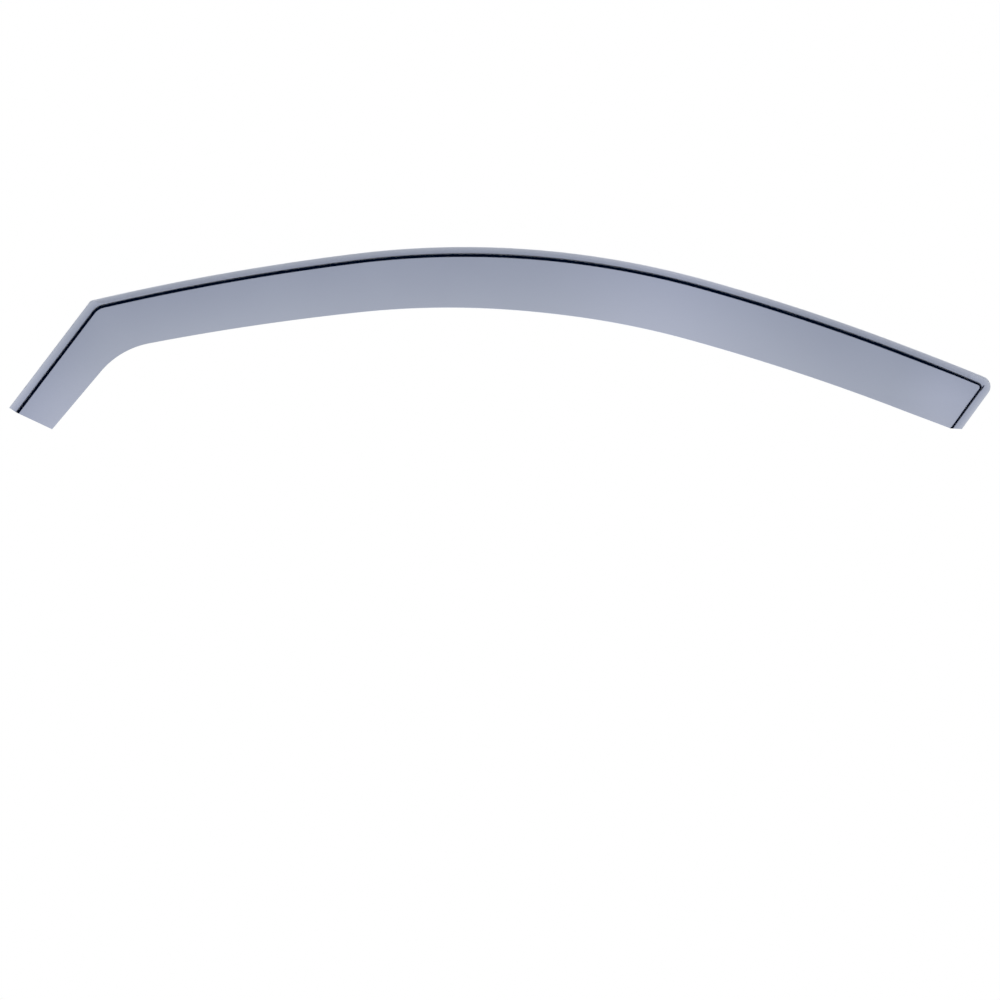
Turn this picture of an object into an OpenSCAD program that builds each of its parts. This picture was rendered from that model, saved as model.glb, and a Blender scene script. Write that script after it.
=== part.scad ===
// Window rain deflector for the front door of a car, left-hand side.
// One moulded sheet of smoke-tinted acrylic. A narrow flange slides up into the
// window channel, a shoulder steps the sheet out past the door frame, and the
// visor below it hangs over the top of the window.
// Millimetres. X runs rearwards along the door, Z is up, and -Y is outwards.
// The origin is on the flange's inner face, at the crown of the shoulder line.
// Headings are angles of travel in the X-Z plane, from the front tip rearwards.

/* [Roof line] */
// Radius of the shoulder line over the front stretch
front_r = 2412; // [1800:4:3200]
// Radius of the shoulder line over the crown
crown_r = 854; // [700:2:1100]
// Radius of the shoulder line over the rear stretch
rear_r = 2160; // [1600:5:2800]
// Length of the shoulder line over the front stretch
front_len = 247; // [180:0.5:300]
// Length of the shoulder line over the rear stretch
rear_len = 279.9; // [200:0.1:340]
// Heading where the front stretch meets the crown
front_joint = 7; // [4:0.1:9]
// Heading where the crown meets the rear stretch
rear_joint = -15.6; // [-18:0.1:-12]

/* [Front leg] */
// Heading of the leg, which runs up the windscreen pillar
leg_heading = 52.7; // [45:0.1:60]
// Straight length of the shoulder line on the leg
leg_len = 121.7; // [80:0.1:160]
// Radius of the shoulder line at the bend
bend_r = 17; // [8:0.5:24]
// Radius of the flange's outer corner at the bend
bend_outer_r = 3; // [1:0.5:8]
// Radius of the visor's lower edge inside the bend
bend_inner_r = 80; // [30:1:90]
// Heading of the visor's lower edge on the leg
leg_lower_heading = 49.8; // [46:0.1:54]
// Heading of the cut across the leg's tip, from shoulder to visor
tip_cut = -25.1; // [-40:0.1:-15]
// Heading of the cut across the flange at the leg's tip
tip_flange_heading = -33; // [-45:0.5:-15]
// Width of the visor along that cut
tip_width = 38; // [28:0.5:46]

/* [Rear end] */
// Radius of the shoulder line at the rear corner
corner_r = 4.2; // [3:0.1:12]
// Radius of the flange's outer corner at the rear
corner_outer_r = 10; // [6:0.5:12]
// Heading of the shoulder line down the rear end
return_heading = -126.1; // [-135:0.1:-115]
// Heading of the cut across the foot of the rear flange, from visor to flange
return_cut = -3; // [-30:1:0]

/* [Visor] */
// Width of the visor at the bend, square to the shoulder line
width_bend = 44.7; // [35:0.1:55]
// Width of the visor at the crown
width_crown = 51.6; // [40:0.2:60]
// Greatest width of the visor
width_wide = 53; // [42:0.2:62]
// Distance from the crown rearwards to the greatest width
wide_at = 115; // [100:5:260]
// Width of the visor before its foot at the rear end
width_rear = 51.8; // [40:0.1:60]
// Width of the visor at the rear corner
width_foot = 50.3; // [40:0.1:60]
// Stretch of the roof line over which the width eases to that
foot_run = 60; // [30:5:120]
// Thickness of the sheet at the top of the visor
sheet_t = 3; // [2:0.1:4]
// Thickness of the sheet at the visor's lower edge
edge_t = 2.4; // [1.6:0.1:3.6]

/* [Flange] */
// Width of the flange along the roof line
flange_w = 7; // [5:0.1:9]
// Width of the flange on the front leg
leg_flange_w = 8.5; // [5:0.1:10]
// Width of the flange down the rear end
return_flange_w = 7.8; // [5:0.1:10]
// Thickness of the flange at its rim
rim_t = 2; // [1.4:0.1:3]

/* [Shoulder] */
// Thickness of the shoulder wall on the front leg
leg_wall_t = 2.2; // [1.4:0.1:3]
// Thickness of the shoulder wall along the roof line
wall_t = 2.5; // [1.6:0.1:3.4]
// Thickness of the shoulder wall down the rear end
return_wall_t = 1.6; // [1.2:0.1:3]
// Stretch of the roof line over which wall and flange ease to their sizes at the rear end
easing_len = 80; // [40:5:160]
// Height of the shoulder at the leg's tip
step_tip = 7; // [5:0.5:10]
// Height of the shoulder at the bend
step_bend = 8; // [5:0.5:11]
// Height of the shoulder at the crown
step_crown = 9; // [5:0.5:12]
// Height of the shoulder at the rear corner
step_rear = 6; // [4.5:0.5:9]
// Radius of the fillet between flange and shoulder
fillet_r = 1.8; // [0.8:0.1:2.4]
// Radius of that fillet down the rear end
return_fillet_r = 1; // [0.6:0.1:2.4]
// Radius of the rounding on the inner side of the shoulder's foot
heel_r = 1.2; // [0.4:0.1:2]
// Radius of the rounded edges of the sheet
edge_r = 0.6; // [0.3:0.1:1]

/* [Depth] */
// Outward rise of the visor from shoulder to lower edge at the leg's tip
flare_tip = 2; // [0:0.5:5]
// Outward rise of the visor at the bend
flare_bend = 4; // [0:0.5:8]
// Outward rise of the visor at the crown
flare_crown = 5; // [0:0.5:9]
// Outward rise of the visor at the rear end
flare_rear = 0.5; // [-1:0.5:3]
// Radius of the side glass along the door
glass_plan_r = 6000; // [4000:100:9000]
// Radius of the side glass from sill to roof
glass_side_r = 1500; // [1100:50:2500]
// Height below the crown at which the glass stands upright
glass_level = 80; // [40:5:120]

/* [Smoothness] */
// Steps along the front leg
leg_steps = 12; // [8:1:20]
// Steps round the bend
bend_steps = 8; // [5:1:12]
// Steps along the roof line
roof_steps = 60; // [40:2:76]
// Steps round each half of the rear corner
corner_steps = 4; // [3:1:5]
// Steps down the rear end
return_steps = 7; // [5:1:9]

/* [Hidden] */

// Stretch of the lower edge that serves the rear corner
corner_span = 2 * corner_r;
// Short run over which the lower edge's heading is taken
short_run = crown_r / 1000;
// Columns over which the visor's rows turn to follow the rear end
turn_columns = corner_steps + 5;

function rad(angle) = angle * PI / 180;
function along(heading) = [cos(heading), sin(heading)];
function leftward(heading) = [-sin(heading), cos(heading)];
function mix(a, b, t) = a + (b - a) * t;
function cross_of(a, b) = a[0] * b[1] - a[1] * b[0];
// Point reached from p on a right-hand arc that turns from one heading to another
function arc_to(p, r, from, to) = p + r * (leftward(to) - leftward(from));

// Smooth value at x through a few knots, each [place, value]
function knot_slope(knots, i) =
    let (a = knots[max(i - 1, 0)], b = knots[min(i + 1, len(knots) - 1)])
    (b[1] - a[1]) / (b[0] - a[0]);
function knot_span(knots, x, i = 0) =
    i >= len(knots) - 2 || x < knots[i + 1][0] ? i : knot_span(knots, x, i + 1);
function law(knots, x) =
    let (c = min(max(x, knots[0][0]), knots[len(knots) - 1][0]))
    let (i = knot_span(knots, c), h = knots[i + 1][0] - knots[i][0], t = (c - knots[i][0]) / h)
    knots[i][1] * (2 * t ^ 3 - 3 * t ^ 2 + 1)
    + knots[i + 1][1] * (3 * t ^ 2 - 2 * t ^ 3)
    + knot_slope(knots, i) * h * (t ^ 3 - 2 * t ^ 2 + t)
    + knot_slope(knots, i + 1) * h * (t ^ 3 - t ^ 2);

// Shoulder line over the roof: three tangent arcs, with the crown at [0, 0]
bend_heading = front_joint + front_len / front_r * 180 / PI;
rear_heading = rear_joint - rear_len / rear_r * 180 / PI;
crown_len = crown_r * rad(front_joint - rear_joint);
roof_len = front_len + crown_len + rear_len;
crown_at = front_len + crown_r * rad(front_joint);
front_joint_at = arc_to([0, 0], crown_r, 0, front_joint);
rear_joint_at = arc_to([0, 0], crown_r, 0, rear_joint);
function roof_heading(s) =
    s < front_len ? bend_heading - s / front_r * 180 / PI
    : s < front_len + crown_len ? front_joint - (s - front_len) / crown_r * 180 / PI
    : rear_joint - (s - front_len - crown_len) / rear_r * 180 / PI;
function roof(s) =
    let (h = roof_heading(s))
    h > front_joint ? arc_to(front_joint_at, front_r, front_joint, h)
    : h < rear_joint ? arc_to(rear_joint_at, rear_r, rear_joint, h)
    : arc_to([0, 0], crown_r, 0, h);

// Front leg and its bend
bend_turn = leg_heading - bend_heading;
leg_top = arc_to(roof(0), bend_r, bend_heading, leg_heading);
leg_tip = leg_top - leg_len * along(leg_heading);
leg_total = leg_len + bend_r * rad(bend_turn);

// Rear corner and the top of the rear end
return_top = arc_to(roof(roof_len), corner_r, rear_heading, return_heading);
corner_mid = (rear_heading + return_heading) / 2;

// Lower edge of the visor under the roof line, a varying width from the shoulder
width_knots = [
    [0, width_bend],
    [crown_at, width_crown],
    [crown_at + wide_at, width_wide],
    [roof_len - foot_run, width_rear],
    [roof_len, width_foot]];
function lower(s) = roof(s) - law(width_knots, s) * leftward(roof_heading(s));

// Place between a and b where a function turns from negative to positive
function turning_place(f, a, b, halvings = 30) =
    let (m = (a + b) / 2)
    halvings == 0 ? m
    : f(m) > 0 ? turning_place(f, a, m, halvings - 1)
    : turning_place(f, m, b, halvings - 1);

// Where the lower edge meets the inner face of the rear shoulder wall
past_return = function (s)
    cross_of(along(return_heading), lower(s) - return_top) + return_wall_t;
lower_end_s = turning_place(past_return, roof_len - 2 * width_rear, roof_len);
lower_end = lower(lower_end_s);
return_tip = lower_end + along(return_cut) * return_wall_t
    / cos(return_cut - return_heading - 90);

// Where the lower edge leaves the roof line and turns down inside the bend, on an arc
// that touches both the roof stretch and the leg's straight lower edge
lower_tip = leg_tip + tip_width * along(tip_cut);
function lower_heading(s) = let (run = lower(s + short_run) - lower(s)) atan2(run[1], run[0]);
function inner_centre_at(s) = lower(s) - bend_inner_r * leftward(lower_heading(s));
past_leg = function (s)
    -cross_of(along(leg_lower_heading), inner_centre_at(s) - lower_tip) - bend_inner_r;
lower_start_s = turning_place(past_leg, 0, crown_at);
inner_centre = inner_centre_at(lower_start_s);
lower_leg_top = inner_centre + bend_inner_r * leftward(leg_lower_heading);

// Centre of a flange corner of radius r between two straight edges, each a point and a heading
function corner_centre(p, from, q, to, r) =
    let (reach = cross_of(q - p, along(to)) / cross_of(along(from), along(to)))
    p + reach * along(from) - r / cos((from - to) / 2) * leftward((from + to) / 2);
bend_centre = corner_centre(
    leg_top + leg_flange_w * leftward(leg_heading), leg_heading,
    roof(0) + flange_w * leftward(bend_heading), bend_heading, bend_outer_r);
rear_centre = corner_centre(
    roof(roof_len) + return_flange_w * leftward(rear_heading), rear_heading,
    return_top + return_flange_w * leftward(return_heading), return_heading, corner_outer_r);

// Thickness of the shoulder wall and width of the flange along the roof line
wall_knots = [[0, wall_t], [roof_len - easing_len, wall_t], [roof_len, return_wall_t]];
flange_knots = [[0, flange_w], [roof_len - easing_len, flange_w], [roof_len, return_flange_w]];

// Stations along the shoulder line: [place, heading, inward heading, wall, flange, lower edge, s,
// heading of the cut across the flange]
leg_stations = [for (i = [0 : leg_steps - 1]) let (t = i / leg_steps)
    [mix(leg_tip, leg_top, t), leg_heading, mix(tip_cut, leg_heading - 90, t), leg_wall_t,
     leg_flange_w, mix(lower_tip, lower_leg_top, t), -leg_total + leg_len * t,
     mix(tip_flange_heading, leg_heading - 90, t)]];
bend_stations = [for (i = [0 : bend_steps - 1]) let (t = i / bend_steps)
    let (h = mix(leg_heading, bend_heading, t))
    [arc_to(roof(0), bend_r, bend_heading, h), h, h - 90, mix(leg_wall_t, wall_t, t), leg_flange_w,
     inner_centre + bend_inner_r * leftward(mix(leg_lower_heading, lower_heading(lower_start_s), t)),
     (t - 1) * bend_r * rad(bend_turn), h - 90]];
roof_stations = [for (i = [0 : roof_steps - 1]) let (t = i / roof_steps, s = roof_len * t)
    [roof(s), roof_heading(s), roof_heading(s) - 90, law(wall_knots, s), law(flange_knots, s),
     lower(mix(lower_start_s, lower_end_s - corner_span, t)), s, roof_heading(s) - 90]];
corner_stations = [for (i = [0 : 2 * corner_steps]) let (t = i / corner_steps / 2)
    let (h = mix(rear_heading, return_heading, t))
    [arc_to(roof(roof_len), corner_r, rear_heading, h), h, h - 90, return_wall_t, return_flange_w,
     lower(lower_end_s - corner_span * max(1 - 2 * t, 0)), roof_len, h - 90]];
return_stations = [for (i = [1 : return_steps]) let (t = i / return_steps)
    let (cut = mix(return_heading - 90, return_cut - 180, t))
    [mix(return_top, return_tip, t), return_heading, cut, return_wall_t, return_flange_w,
     lower_end, roof_len, cut]];
stations = concat(leg_stations, bend_stations, roof_stations, corner_stations, return_stations);
COLUMNS = leg_steps + bend_steps + roof_steps + corner_steps;
ROWS = corner_steps + return_steps;
LAST = COLUMNS + ROWS;

// Point at a distance square to the shoulder line, inwards positive, along the station's own cuts
function offset_at(k, distance) =
    let (st = stations[k], cut = distance < 0 ? st[7] : st[2])
    st[0] + along(cut) * distance / cos(cut - st[1] + 90);
function is_bend(k) = k >= leg_steps && k < leg_steps + bend_steps;
function is_corner(k) = k >= COLUMNS - corner_steps && k <= COLUMNS + corner_steps;
function rim_at(k) =
    is_bend(k) ? bend_centre + bend_outer_r * leftward(stations[k][1])
    : is_corner(k) ? rear_centre + corner_outer_r * leftward(stations[k][1])
    : offset_at(k, -stations[k][4]);

// Depth laws, all measured outwards
step_knots = [[-leg_total, step_tip], [0, step_bend], [crown_at, step_crown], [roof_len, step_rear]];
flare_knots = [[-leg_total, flare_tip], [0, flare_bend], [crown_at, flare_crown], [roof_len, flare_rear]];
function glass(p) =
    glass_level ^ 2 / (2 * glass_side_r)
    - p[0] ^ 2 / (2 * glass_plan_r) - (p[1] + glass_level) ^ 2 / (2 * glass_side_r);
function visor_depth(i, v, p) =
    glass(p) + sheet_t + law(step_knots, stations[i][6]) + law(flare_knots, stations[i][6]) * sin(90 * v);
function visor_t(v) = mix(sheet_t, edge_t, v);

// Share of the rear end's length above each row of the visor
corner_half = corner_r * rad(corner_mid - return_heading);
return_run = norm(return_tip - return_top);
function row_share(j) =
    j <= corner_steps ? corner_half * j / corner_steps / (corner_half + return_run)
    : (corner_half + return_run * (j - corner_steps) / return_steps) / (corner_half + return_run);

// Plan of the visor's front or inner skin, which starts at an offset from the shoulder line
function skin_offset(k, inner) = inner ? stations[k][3] : edge_r;
function skin_top(i, inner) = offset_at(i, skin_offset(i, inner));
function skin_foot(i, inner) =
    i == COLUMNS ? offset_at(LAST, skin_offset(LAST, inner))
    : let (up = skin_top(i, inner) - stations[i][5]) stations[i][5] + up * edge_r / norm(up);
function skin_ruled(i, j, inner) = mix(skin_top(i, inner), skin_foot(i, inner), row_share(j));
function skin_at(i, j, inner) =
    skin_ruled(i, j, inner)
    + max(0, 1 - (COLUMNS - i) / turn_columns)
    * (offset_at(COLUMNS + j, skin_offset(COLUMNS + j, inner)) - skin_ruled(COLUMNS, j, inner));
function in_space(p, outward) = [p[0], -outward, p[1]];
function skin_point(i, j, inner) =
    let (p = skin_at(i, j, inner), v = row_share(j))
    in_space(p, visor_depth(i, v, p) - (inner ? visor_t(v) : 0));

// Half section of rim, flange and shoulder at a station
function section(k) =
    let (i = min(k, COLUMNS), j = max(0, k - COLUMNS), v = row_share(j))
    let (rim = rim_at(k), foot = stations[k][0], wall = stations[k][3])
    let (rim_in = rim + (foot - rim) * edge_r / norm(foot - rim))
    let (top = visor_depth(i, v, foot), floor_d = glass(foot) + sheet_t, height = top - floor_d)
    let (fillet = mix(fillet_r, return_fillet_r, max(0, 1 - (COLUMNS - i) / turn_columns)))
    let (f = min(fillet, height / 2), heel = min(heel_r, wall * 0.8), slant = 1 - cos(45))
    let (edge = min(edge_r, wall / 2))
    [in_space(rim, glass(rim) + rim_t / 2),
     in_space(rim_in, glass(rim_in) + rim_t),
     in_space(offset_at(k, -f), floor_d),
     in_space(offset_at(k, -f * slant), floor_d + f * slant),
     in_space(foot, floor_d + f),
     in_space(foot, top - edge),
     in_space(offset_at(k, edge * slant), top - edge * slant),
     in_space(offset_at(k, wall), glass(foot) + heel),
     in_space(offset_at(k, wall - heel * slant), glass(foot) + heel * slant),
     in_space(offset_at(k, wall - heel), glass(foot)),
     in_space(rim_in, glass(rim_in)),
     in_space(foot, glass(foot))];

// Points of the whole sheet, in blocks: sections, outer skin, inner skin, lower rim
SECTION = 12;
FRONT_CHAIN = [0, 1, 2, 3, 4, 5, 6];
BACK_CHAIN = [7, 8, 9, 11, 10, 0];
function lower_rim(i) =
    let (p = i == COLUMNS ? offset_at(LAST, return_wall_t) : stations[i][5])
    in_space(p, visor_depth(i, 1, p) - edge_t / 2);
sheet_points = concat(
    [for (k = [0 : LAST]) each section(k)],
    [for (i = [0 : COLUMNS]) for (j = [0 : ROWS]) skin_point(i, j, false)],
    [for (i = [0 : COLUMNS]) for (j = [0 : ROWS]) skin_point(i, j, true)],
    [for (i = [0 : COLUMNS]) lower_rim(i)]);
OUTER_BLOCK = SECTION * (LAST + 1);
INNER_BLOCK = OUTER_BLOCK + (COLUMNS + 1) * (ROWS + 1);
RIM_BLOCK = INNER_BLOCK + (COLUMNS + 1) * (ROWS + 1);
function outer_id(i, j) = OUTER_BLOCK + i * (ROWS + 1) + j;
function inner_id(i, j) = INNER_BLOCK + i * (ROWS + 1) + j;
function rim_id(i) = RIM_BLOCK + i;
function front_ids(k) =
    concat([for (m = FRONT_CHAIN) SECTION * k + m], [outer_id(min(k, COLUMNS), max(0, k - COLUMNS))]);
function back_ids(k) =
    concat([inner_id(min(k, COLUMNS), max(0, k - COLUMNS))], [for (m = BACK_CHAIN) SECTION * k + m]);
// Two triangles for each square between neighbouring chains of points
function ribbon(a, b) =
    [for (m = [0 : len(a) - 2]) each [[a[m], b[m], b[m + 1]], [a[m], b[m + 1], a[m + 1]]]];
function backwards(list) = [for (m = [len(list) - 1 : -1 : 0]) list[m]];

function visor_loop(i) = concat(
    [for (j = [0 : ROWS]) outer_id(i, j)],
    [rim_id(i)],
    [for (j = [ROWS : -1 : 0]) inner_id(i, j)]);
tip_flange_loop = [0, 1, 2, 3, 4, 11, 10];
tip_visor_loop = concat([4, 5, 6], visor_loop(0), [7, 8, 9, 11]);
foot_loop = concat(
    front_ids(LAST),
    [rim_id(COLUMNS)],
    [for (m = [0 : 5]) back_ids(LAST)[m]]);
sheet_faces = concat(
    [for (k = [0 : LAST - 1]) each ribbon(front_ids(k), front_ids(k + 1))],
    [for (k = [0 : LAST - 1]) each ribbon(back_ids(k), back_ids(k + 1))],
    [for (i = [0 : COLUMNS - 1]) each ribbon(visor_loop(i), visor_loop(i + 1))],
    [tip_flange_loop, tip_visor_loop],
    [backwards(foot_loop)]);

module deflector() {
    color([0.46, 0.5, 0.58])
        polyhedron(points = sheet_points, faces = sheet_faces, convexity = 6);
}

deflector();
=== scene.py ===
"""Looks of a window rain deflector: one moulded sheet of smoke-tinted acrylic.

The sheet is drawn in plan as it hangs on the door, stepped out at its shoulder,
and then moulded over the side glass. Lengths are in millimetres until a mesh is
made. X runs rearwards along the door, Z is up and -Y is outwards.
"""

import logging
import math
from collections.abc import Callable, Iterator
from dataclasses import dataclass
from enum import Enum
from typing import TypeVar

import bmesh
import bpy
import numpy as np
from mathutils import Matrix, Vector


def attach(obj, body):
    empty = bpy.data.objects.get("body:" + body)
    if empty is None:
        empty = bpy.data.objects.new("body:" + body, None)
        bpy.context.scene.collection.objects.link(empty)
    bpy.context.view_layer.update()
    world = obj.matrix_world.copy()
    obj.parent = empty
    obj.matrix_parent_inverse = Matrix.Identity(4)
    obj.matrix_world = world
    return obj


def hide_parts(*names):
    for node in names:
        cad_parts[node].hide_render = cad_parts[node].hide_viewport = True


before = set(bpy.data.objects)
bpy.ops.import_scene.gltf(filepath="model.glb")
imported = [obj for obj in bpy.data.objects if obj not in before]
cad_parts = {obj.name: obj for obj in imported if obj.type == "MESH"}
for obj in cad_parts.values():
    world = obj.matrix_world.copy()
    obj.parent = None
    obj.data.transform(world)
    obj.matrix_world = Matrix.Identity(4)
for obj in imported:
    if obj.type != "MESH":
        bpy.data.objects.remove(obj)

MM = 0.001
LOG = logging.getLogger("deflector")
Value = TypeVar("Value", float, np.ndarray)
Colour = tuple[float, float, float, float]
Point = tuple[float, float, float]
Socket = bpy.types.NodeSocket
Feed = float | Socket
WHITE: Colour = (1.0, 1.0, 1.0, 1.0)


class Finish(Enum):
    """Marks that a point of the sheet can carry for its material: painted edge shade, and a rougher cut
    edge.
    """

    # Painted shade: darkness painted where the shoulder is seen edge-on.
    EDGE_ON = "edge_on"
    CUT_EDGE = "cut_edge"


def along(heading: float) -> np.ndarray:
    """Gives the unit vector of a heading in degrees."""
    return np.array([math.cos(math.radians(heading)), math.sin(math.radians(heading))])


def leftward(heading: float) -> np.ndarray:
    """Gives the unit vector to the left of a heading in degrees."""
    return np.array([-math.sin(math.radians(heading)), math.cos(math.radians(heading))])


def arc_to(start: np.ndarray, radius: float, turn_from: float, turn_to: float) -> np.ndarray:
    """Gives the point of a right-hand arc where its heading has turned from one to another."""
    return start + radius * (leftward(turn_to) - leftward(turn_from))


def cross_of(a: np.ndarray, b: np.ndarray) -> float:
    """Gives the cross product of two plan vectors."""
    return float(a[0] * b[1] - a[1] * b[0])


def mix(a: Value, b: Value, share: float) -> Value:
    """Gives the value that lies a share of the way from a to b."""
    return a + (b - a) * share


def between(rows: int) -> list[float]:
    """Gives the shares at which a stretch is parted into equal rows."""
    return [i / rows for i in range(1, rows)]


def add_object(name: str, data: bpy.types.ID) -> bpy.types.Object:
    """Puts a new object in the scene, at its origin.

    Args:
        name: The object's name.
        data: Its mesh, lamp or camera.

    Returns:
        The object.
    """
    made = bpy.data.objects.new(name, data)
    bpy.context.scene.collection.objects.link(made)
    return made


@dataclass(frozen=True)
class Law:
    """A smooth value through a few knots, each a place and a value."""

    knots: tuple[tuple[float, float], ...]

    def slope(self, i: int) -> float:
        """Gives the slope at knot i, from the knots on both sides."""
        (x0, y0), (x1, y1) = self.knots[max(i - 1, 0)], self.knots[min(i + 1, len(self.knots) - 1)]
        return (y1 - y0) / (x1 - x0)

    def at(self, place: float) -> float:
        """Reads the law.

        Args:
            place: Where along the shoulder line the value is wanted.

        Returns:
            The value there, held constant past the end knots.
        """
        place = min(max(place, self.knots[0][0]), self.knots[-1][0])
        i = 0
        while i < len(self.knots) - 2 and place >= self.knots[i + 1][0]:
            i += 1
        (x0, y0), (x1, y1) = self.knots[i], self.knots[i + 1]
        h = x1 - x0
        t = (place - x0) / h
        ends = y0 * (2 * t**3 - 3 * t**2 + 1) + y1 * (3 * t**2 - 2 * t**3)
        slopes = self.slope(i) * (t**3 - 2 * t**2 + t) + self.slope(i + 1) * (t**3 - t**2)
        return ends + h * slopes


@dataclass(frozen=True)
class RoofLine:
    """The shoulder line over the door: three tangent arcs, with the crown at the origin."""

    front_r: float = 2412.0
    crown_r: float = 854.0
    rear_r: float = 2160.0
    front_len: float = 247.0
    rear_len: float = 279.9
    front_joint: float = 7.0
    rear_joint: float = -15.6

    @property
    def bend_heading(self) -> float:
        """Heading where the front leg's bend ends."""
        return self.front_joint + math.degrees(self.front_len / self.front_r)

    @property
    def rear_heading(self) -> float:
        """Heading where the rear corner begins."""
        return self.rear_joint - math.degrees(self.rear_len / self.rear_r)

    @property
    def crown_len(self) -> float:
        """Length of the stretch over the crown."""
        return self.crown_r * math.radians(self.front_joint - self.rear_joint)

    @property
    def length(self) -> float:
        """Length of the whole line."""
        return self.front_len + self.crown_len + self.rear_len

    @property
    def crown_at(self) -> float:
        """Place of the crown along the line."""
        return self.front_len + self.crown_r * math.radians(self.front_joint)

    def heading(self, s: float) -> float:
        """Gives the line's heading.

        Args:
            s: Place along the line.

        Returns:
            The heading there, in degrees.
        """
        if s < self.front_len:
            return self.bend_heading - math.degrees(s / self.front_r)
        if s < self.front_len + self.crown_len:
            return self.front_joint - math.degrees((s - self.front_len) / self.crown_r)
        past = s - self.front_len - self.crown_len
        return self.rear_joint - math.degrees(past / self.rear_r)

    def point(self, s: float) -> np.ndarray:
        """Follows the line from the crown.

        Args:
            s: Place along the line.

        Returns:
            The plan point there.
        """
        heading = self.heading(s)
        joint = min(max(heading, self.rear_joint), self.front_joint)
        end_r = self.front_r if heading > joint else self.rear_r
        return arc_to(arc_to(np.zeros(2), self.crown_r, 0, joint), end_r, joint, heading)


@dataclass(frozen=True)
class Station:
    """One cut across the sheet, square to the shoulder line or nearly so."""

    place: np.ndarray
    heading: float
    cut: float
    flange_cut: float
    wall: float
    rim: np.ndarray
    lower: np.ndarray
    s: float

    def inward(self, distance: float) -> np.ndarray:
        """Gives the plan point at a distance square to the shoulder line, inwards positive."""
        cut = self.flange_cut if distance < 0 else self.cut
        return self.place + along(cut) * distance / math.cos(math.radians(cut - self.heading + 90))


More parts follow.
